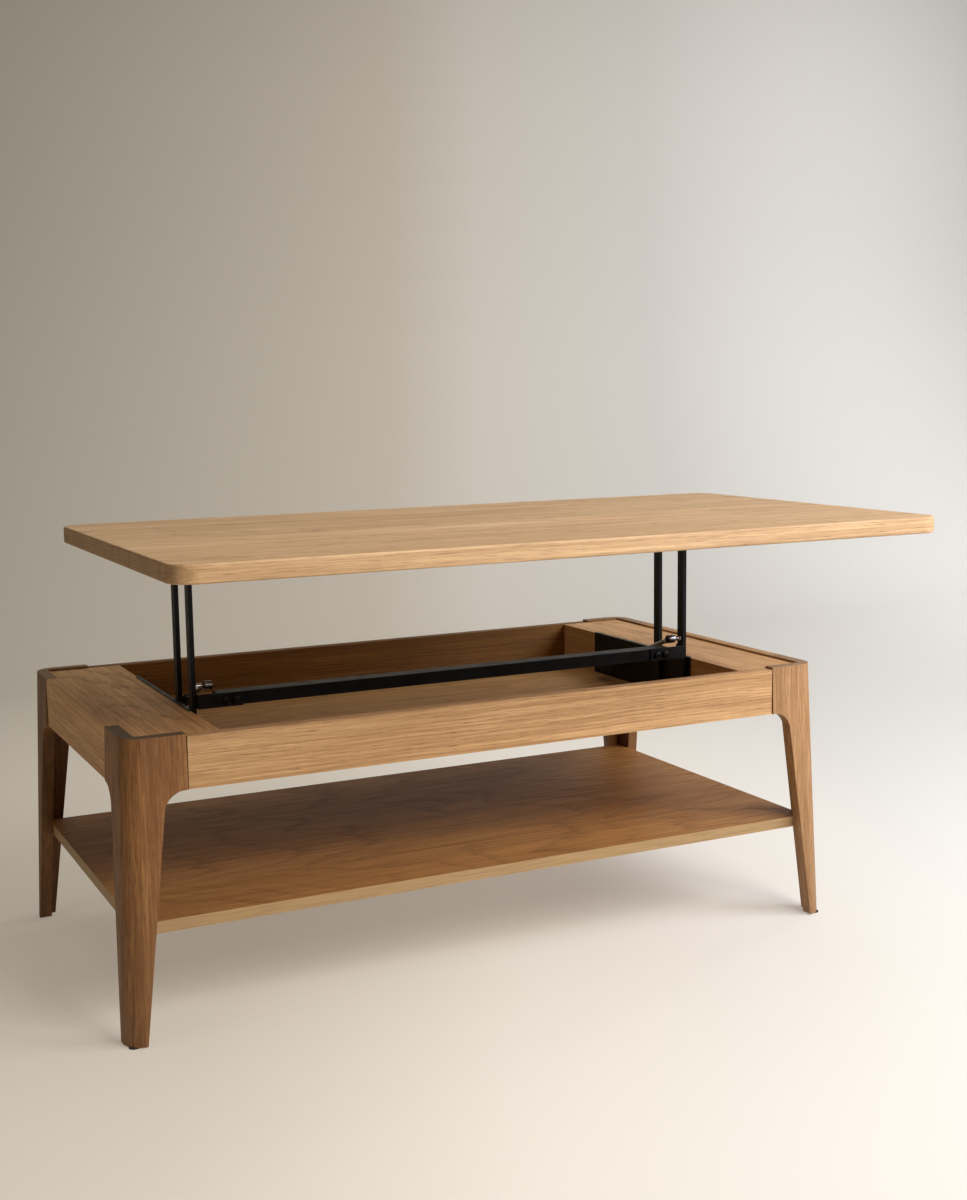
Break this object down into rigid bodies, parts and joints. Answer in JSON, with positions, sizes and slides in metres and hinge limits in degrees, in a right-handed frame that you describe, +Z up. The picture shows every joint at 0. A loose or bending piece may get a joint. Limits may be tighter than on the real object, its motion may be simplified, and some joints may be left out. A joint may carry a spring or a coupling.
{
  "type": "lift top coffee table",
  "caption": "Oak coffee table whose rounded-corner top lifts forward on steel arms over a hidden storage tray, with splayed legs and a lower shelf.",
  "frame": {"origin": "centre of the bounding box with the top raised, on the floor", "axes": "+X to the right along the length, +Y to the back, +Z up; the top lifts towards -Y"},
  "size_m": [1.2278, 0.9548, 0.7173],
  "materials": {
    "oak": "matt oiled",
    "black_steel": "satin powder coat",
    "chrome": "polished",
    "rod_steel": "ground hard chrome",
    "zinc_steel": "zinc plated",
    "rubber": "matt"
  },
  "bodies": {
    "base": {"front_apron": "oak", "back_apron": "oak", "left_apron": "oak", "right_apron": "oak", "front_left_leg": "oak", "front_right_leg": "oak", "back_left_leg": "oak", "back_right_leg": "oak", "left_end_panel": "oak", "right_end_panel": "oak", "left_inner_wall": "oak", "right_inner_wall": "oak", "storage_bottom": "oak", "storage_cleats": "oak", "lower_shelf": "oak", "apron_dowels": "oak", "shelf_dowels": "oak", "corner_blocks": "oak", "leg_bolts": "zinc_steel", "panel_battens": "oak", "bottom_screws": "zinc_steel", "foot_glides": "rubber", "left_base_bracket": "black_steel", "right_base_bracket": "black_steel", "base_bracket_screws": "black_steel", "base_pivot_pins": "black_steel", "base_pivot_washers": "zinc_steel", "gas_anchor_studs": "chrome"},
    "lift_arms": {"left_front_arm": "black_steel", "right_front_arm": "black_steel", "gas_arm_studs": "chrome", "crossbar": "black_steel", "crossbar_end_caps": "rubber", "left_crossbar_bracket": "black_steel", "right_crossbar_bracket": "black_steel", "crossbar_bolts": "black_steel"},
    "rear_arms": {"left_rear_arm": "black_steel", "right_rear_arm": "black_steel"},
    "top": {"tabletop": "oak", "tabletop_pads": "rubber", "left_top_bracket": "black_steel", "right_top_bracket": "black_steel", "top_bracket_screws": "black_steel", "top_pivot_pins": "black_steel", "top_pivot_washers": "zinc_steel"},
    "left_spring_body": {"left_gas_cylinder": "black_steel"},
    "right_spring_body": {"right_gas_cylinder": "black_steel"},
    "left_spring_rod": {"left_gas_rod": "rod_steel"},
    "right_spring_rod": {"right_gas_rod": "rod_steel"}
  },
  "joints": [
    {"name": "lift", "type": "hinge", "parent": "base", "child": "lift_arms", "pos_m": [0, 0.00447, 0.37851], "axis": [-1, 0, 0], "range_deg": [0, 79.5]},
    {"name": "rear_arm_pivot", "type": "hinge", "parent": "base", "child": "rear_arms", "pos_m": [0, 0.08197, 0.37332], "axis": [-1, 0, 0], "range_deg": [0, 79.6]},
    {"name": "top_pivot", "type": "hinge", "parent": "lift_arms", "child": "top", "pos_m": [0, 0.00447, 0.68051], "axis": [1, 0, 0], "range_deg": [0, 79.6]},
    {"name": "left_spring_pivot", "type": "hinge", "parent": "base", "child": "left_spring_body", "pos_m": [-0.422, 0.25187, 0.383], "axis": [1, 0, 0], "range_deg": [0, 15.49]},
    {"name": "left_spring_stroke", "type": "slide", "parent": "left_spring_body", "child": "left_spring_rod", "axis": [0, 0.9379, -0.3469], "range_m": [0, 0.11042]},
    {"name": "right_spring_pivot", "type": "hinge", "parent": "base", "child": "right_spring_body", "pos_m": [0.422, 0.25187, 0.383], "axis": [1, 0, 0], "range_deg": [0, 15.49]},
    {"name": "right_spring_stroke", "type": "slide", "parent": "right_spring_body", "child": "right_spring_rod", "axis": [0, 0.9379, -0.3469], "range_m": [0, 0.11042]}
  ],
  "couplings": [
    {"joint": "rear_arm_pivot", "follows": "lift", "ratio": 1},
    {"joint": "top_pivot", "follows": "lift", "ratio": 1},
    {"joint": "left_spring_pivot", "follows": "lift", "ratio": 0.19421},
    {"joint": "left_spring_stroke", "follows": "lift", "m_per_rad": 0.079439},
    {"joint": "right_spring_pivot", "follows": "lift", "ratio": 0.19421},
    {"joint": "right_spring_stroke", "follows": "lift", "m_per_rad": 0.079439}
  ]
}
